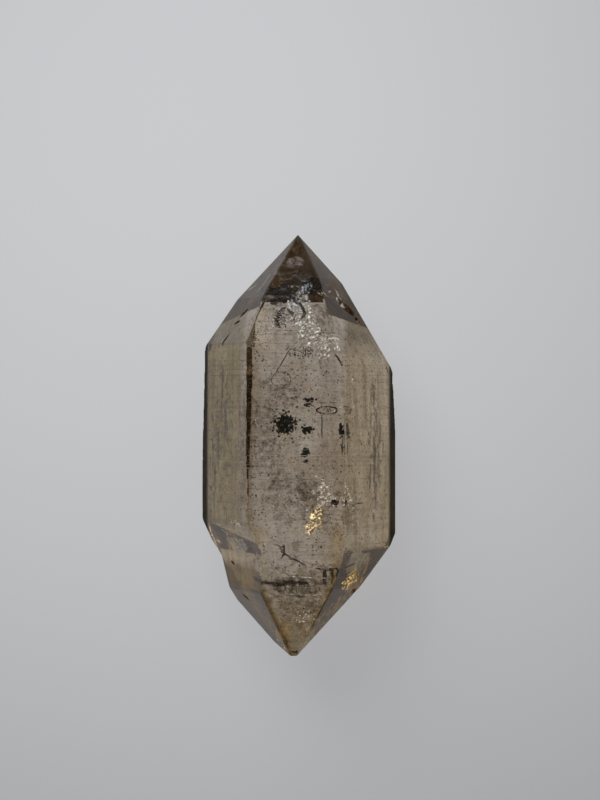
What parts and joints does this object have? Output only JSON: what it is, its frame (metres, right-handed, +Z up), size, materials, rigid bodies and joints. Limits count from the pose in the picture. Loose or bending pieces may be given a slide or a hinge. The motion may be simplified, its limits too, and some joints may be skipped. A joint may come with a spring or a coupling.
{
  "type": "double terminated smoky quartz crystal",
  "caption": "Long six-sided smoky quartz crystal, pointed at both ends, lying on one face of its prism.",
  "frame": {"origin": "middle of the bounding box in X and Y, at the level of the resting prism face", "axes": "+Y along the crystal's long axis towards its sharper point, +Z up from the resting face, +X across the prism"},
  "size_m": [0.0194, 0.042, 0.0169],
  "materials": {
    "smoky_quartz": "clear smoky brown quartz with natural growth faces, index of refraction 1.544, fine horizontal striations on the prism"
  },
  "bodies": {
    "root": {"quartz_crystal": "smoky_quartz"}
  },
  "joints": []
}
